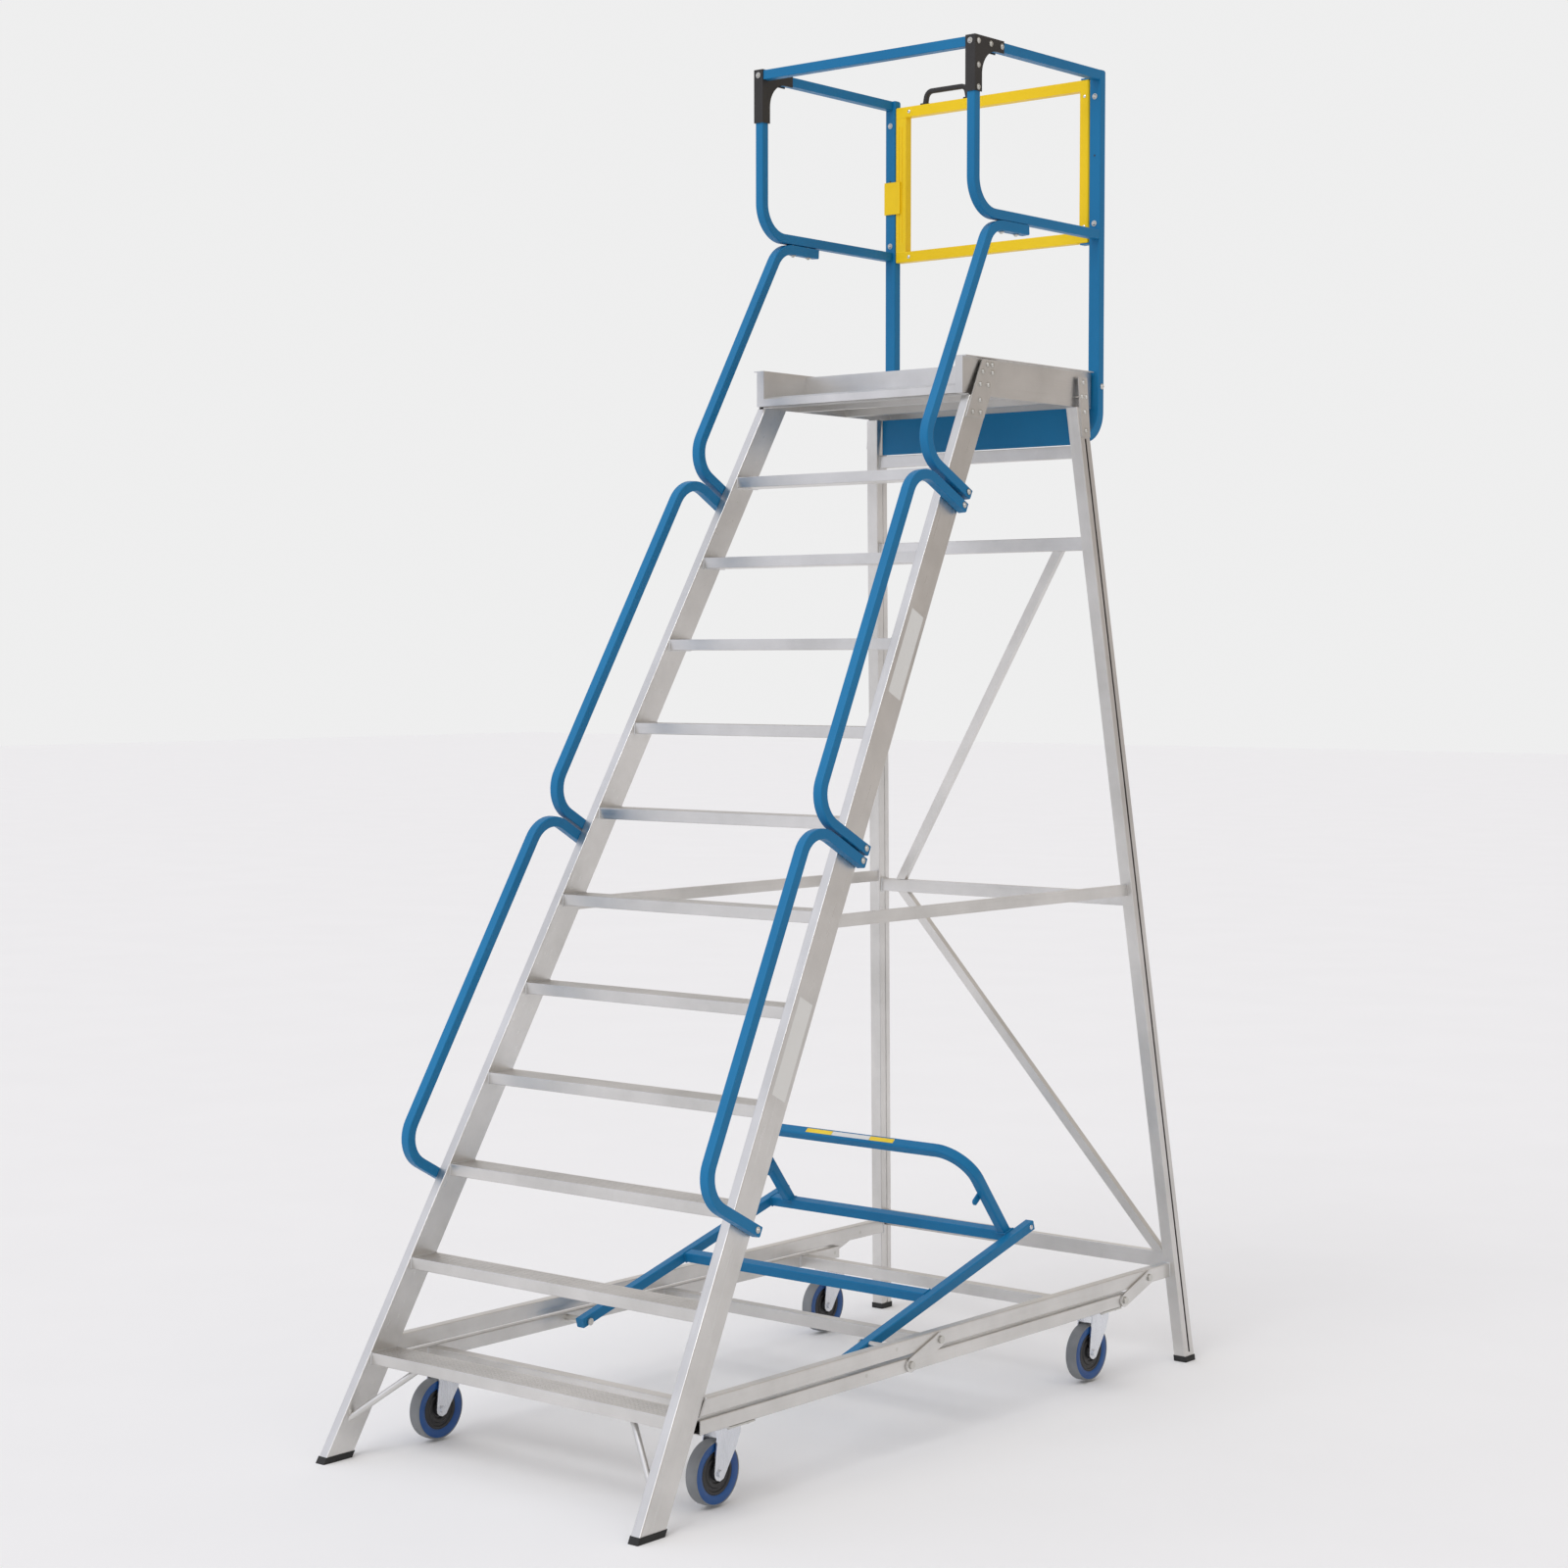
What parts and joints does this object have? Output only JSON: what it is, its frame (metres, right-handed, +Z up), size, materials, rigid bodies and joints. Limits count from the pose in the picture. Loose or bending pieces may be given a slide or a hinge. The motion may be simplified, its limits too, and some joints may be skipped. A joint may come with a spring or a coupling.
{
  "type": "mobile ladder stand",
  "caption": "Tall rolling ladder with a railed, gated top platform; a floor-level lever lowers a castor carriage to lift the frame for moving.",
  "frame": {"origin": "on the floor, at the centre of the footprint", "axes": "+Z up; +Y from the climbing side to the rear legs; +X to the climber's right"},
  "size_m": [1.2688, 2.6143, 4.0861],
  "materials": {
    "aluminium": "brushed mill finish",
    "tread": "ribbed mill finish",
    "blue_paint": "powder coated",
    "yellow_paint": "powder coated",
    "zinc_steel": "zinc plated",
    "black_plastic": "moulded",
    "foot_rubber": "moulded",
    "castor_wheel": "solid tyre on a moulded rim"
  },
  "bodies": {
    "frame": {"base_rails": "aluminium", "corner_brackets": "black_plastic", "foot_caps": "foot_rubber", "foot_struts": "aluminium", "frame_fasteners": "zinc_steel", "frame_pivot_bolts": "zinc_steel", "gate_hinges": "blue_paint", "guard_front_bar": "blue_paint", "guard_post_left": "blue_paint", "guard_post_right": "blue_paint", "guard_side_left": "blue_paint", "guard_side_right": "blue_paint", "handrails_left": "blue_paint", "handrails_right": "blue_paint", "joint_plates": "aluminium", "platform_deck": "tread", "platform_nosing": "tread", "rear_crossbars": "aluminium", "rear_diagonals": "aluminium", "rear_leg_left": "aluminium", "rear_leg_right": "aluminium", "rear_panel": "blue_paint", "side_braces": "aluminium", "step_01": "tread", "step_02": "tread", "step_03": "tread", "step_04": "tread", "step_05": "tread", "step_06": "tread", "step_07": "tread", "step_08": "tread", "step_09": "tread", "step_10": "tread", "step_11": "tread", "stile_left": "aluminium", "stile_right": "aluminium", "toe_board_cross": "aluminium", "toe_board_left": "aluminium", "toe_board_right": "aluminium"},
    "carriage": {"carriage_rails": "aluminium", "carriage_crossbars": "aluminium", "castor_plates": "zinc_steel", "castor_plate_bolts": "zinc_steel", "carriage_pivot_bolts": "zinc_steel"},
    "lever": {"lever_frame": "blue_paint", "lever_hoop": "blue_paint"},
    "mid_link_left": {"mid_link_left": "aluminium"},
    "mid_link_right": {"mid_link_right": "aluminium"},
    "rear_link_left": {"rear_link_left": "aluminium"},
    "rear_link_right": {"rear_link_right": "aluminium"},
    "gate": {"gate_frame": "yellow_paint", "gate_handle": "black_plastic"},
    "castor_fork_front_left": {"castor_fork_front_left": "zinc_steel"},
    "castor_wheel_front_left": {"castor_wheel_front_left": "castor_wheel"},
    "castor_fork_front_right": {"castor_fork_front_right": "zinc_steel"},
    "castor_wheel_front_right": {"castor_wheel_front_right": "castor_wheel"},
    "castor_fork_rear_left": {"castor_fork_rear_left": "zinc_steel"},
    "castor_wheel_rear_left": {"castor_wheel_rear_left": "castor_wheel"},
    "castor_fork_rear_right": {"castor_fork_rear_right": "zinc_steel"},
    "castor_wheel_rear_right": {"castor_wheel_rear_right": "castor_wheel"}
  },
  "joints": [
    {"name": "lever_hinge", "type": "hinge", "parent": "frame", "child": "lever", "pos_m": [0, -0.208, 0.301], "axis": [1, 0, 0], "range_deg": [0, 72]},
    {"name": "carriage_hinge", "type": "hinge", "parent": "lever", "child": "carriage", "pos_m": [0, -0.346, 0.252], "axis": [1, 0, 0], "range_deg": [-72, 0]},
    {"name": "mid_link_left_hinge", "type": "hinge", "parent": "frame", "child": "mid_link_left", "pos_m": [-0.5936, -0.01, 0.295], "axis": [1, 0, 0], "range_deg": [0, 72]},
    {"name": "rear_link_left_hinge", "type": "hinge", "parent": "frame", "child": "rear_link_left", "pos_m": [-0.5936, 1.09, 0.295], "axis": [1, 0, 0], "range_deg": [0, 72]},
    {"name": "mid_link_right_hinge", "type": "hinge", "parent": "frame", "child": "mid_link_right", "pos_m": [0.5936, -0.01, 0.295], "axis": [1, 0, 0], "range_deg": [0, 72]},
    {"name": "rear_link_right_hinge", "type": "hinge", "parent": "frame", "child": "rear_link_right", "pos_m": [0.5936, 1.09, 0.295], "axis": [1, 0, 0], "range_deg": [0, 72]},
    {"name": "castor_swivel_front_left", "type": "hinge", "parent": "carriage", "child": "castor_fork_front_left", "pos_m": [-0.525, -0.877, 0.2], "axis": [0, 0, 1], "continuous": true},
    {"name": "castor_axle_front_left", "type": "hinge", "parent": "castor_fork_front_left", "child": "castor_wheel_front_left", "pos_m": [-0.525, -0.923, 0.094], "axis": [1, 0, 0], "continuous": true},
    {"name": "castor_swivel_front_right", "type": "hinge", "parent": "carriage", "child": "castor_fork_front_right", "pos_m": [0.525, -0.877, 0.2], "axis": [0, 0, 1], "continuous": true},
    {"name": "castor_axle_front_right", "type": "hinge", "parent": "castor_fork_front_right", "child": "castor_wheel_front_right", "pos_m": [0.525, -0.923, 0.094], "axis": [1, 0, 0], "continuous": true},
    {"name": "castor_swivel_rear_left", "type": "hinge", "parent": "carriage", "child": "castor_fork_rear_left", "pos_m": [-0.525, 0.89, 0.2], "axis": [0, 0, 1], "continuous": true},
    {"name": "castor_axle_rear_left", "type": "hinge", "parent": "castor_fork_rear_left", "child": "castor_wheel_rear_left", "pos_m": [-0.525, 0.844, 0.094], "axis": [1, 0, 0], "continuous": true},
    {"name": "castor_swivel_rear_right", "type": "hinge", "parent": "carriage", "child": "castor_fork_rear_right", "pos_m": [0.525, 0.89, 0.2], "axis": [0, 0, 1], "continuous": true},
    {"name": "castor_axle_rear_right", "type": "hinge", "parent": "castor_fork_rear_right", "child": "castor_wheel_rear_right", "pos_m": [0.525, 0.844, 0.094], "axis": [1, 0, 0], "continuous": true},
    {"name": "gate_hinge", "type": "hinge", "parent": "frame", "child": "gate", "pos_m": [0.3605, 1.052, 3.77], "axis": [0, 0, 1], "range_deg": [0, 58], "stiffness_Nm_per_rad": 1.5, "springref_deg": -28.65}
  ],
  "couplings": [
    {"joint": "carriage_hinge", "follows": "lever_hinge", "ratio": -1},
    {"joint": "mid_link_left_hinge", "follows": "lever_hinge", "ratio": 1},
    {"joint": "rear_link_left_hinge", "follows": "lever_hinge", "ratio": 1},
    {"joint": "mid_link_right_hinge", "follows": "lever_hinge", "ratio": 1},
    {"joint": "rear_link_right_hinge", "follows": "lever_hinge", "ratio": 1}
  ]
}
